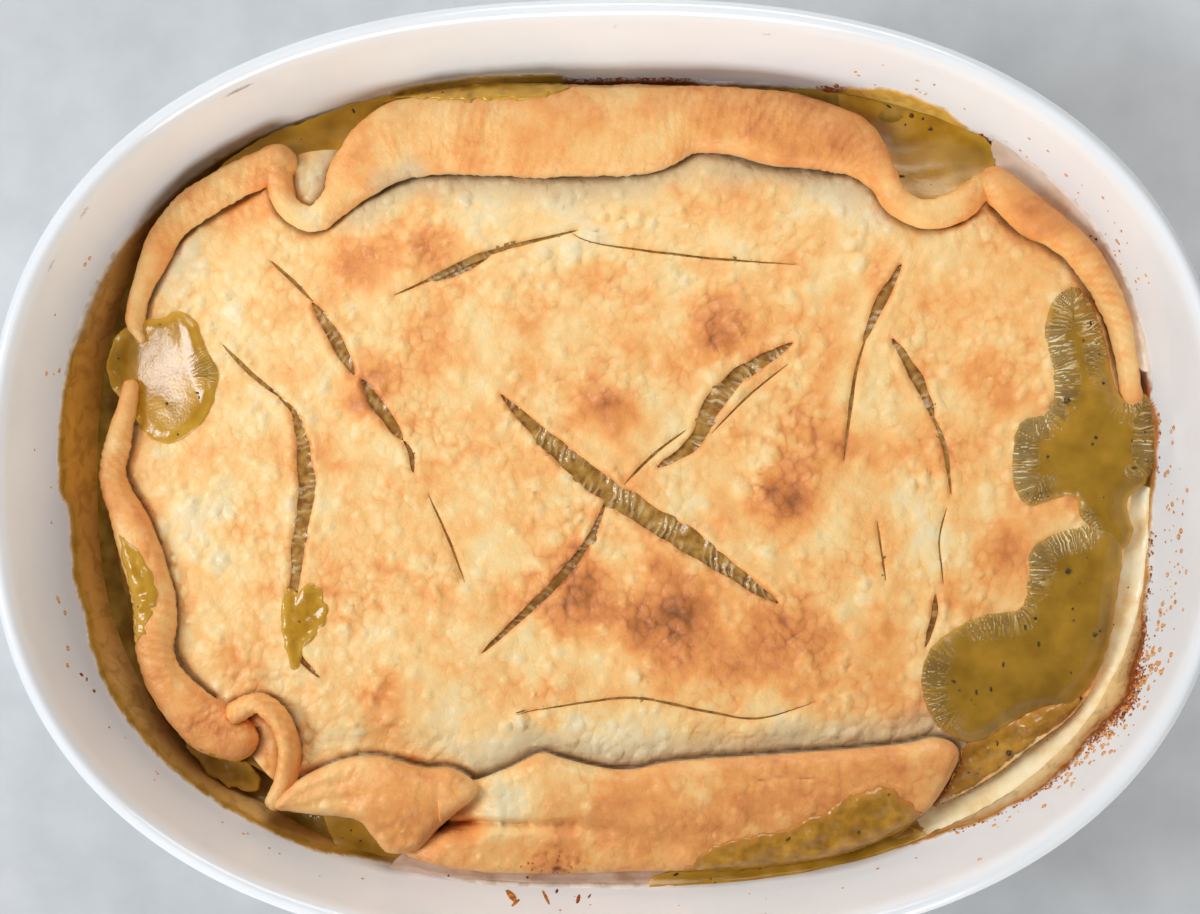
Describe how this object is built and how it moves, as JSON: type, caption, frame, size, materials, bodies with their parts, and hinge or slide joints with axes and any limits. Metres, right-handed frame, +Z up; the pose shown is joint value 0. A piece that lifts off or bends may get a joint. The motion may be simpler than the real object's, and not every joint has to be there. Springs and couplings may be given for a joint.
{
  "type": "chicken pot pie in an oval dish",
  "caption": "Baked chicken pot pie with a folded, slit crust and pools of gravy, in a deep oval white stoneware baking dish.",
  "frame": {"origin": "middle of the dish's base, on the surface that it stands on", "axes": "+X along the dish's length, +Y across it, +Z up out of its mouth"},
  "size_m": [0.292, 0.224, 0.075],
  "materials": {
    "glazed_stoneware": "glossy white glaze with baked-on gravy and spatter above the gravy line",
    "pie_filling": "glossy thickened gravy",
    "baked_crust": "matte blistered shortcrust, browned in patches",
    "set_gravy": "glossy set gravy with herb specks"
  },
  "bodies": {
    "root": {"dish": "glazed_stoneware", "filling": "pie_filling", "crust": "baked_crust", "gravy_pool_left": "set_gravy", "gravy_pool_right": "set_gravy", "gravy_pool_corner": "set_gravy"}
  },
  "joints": []
}
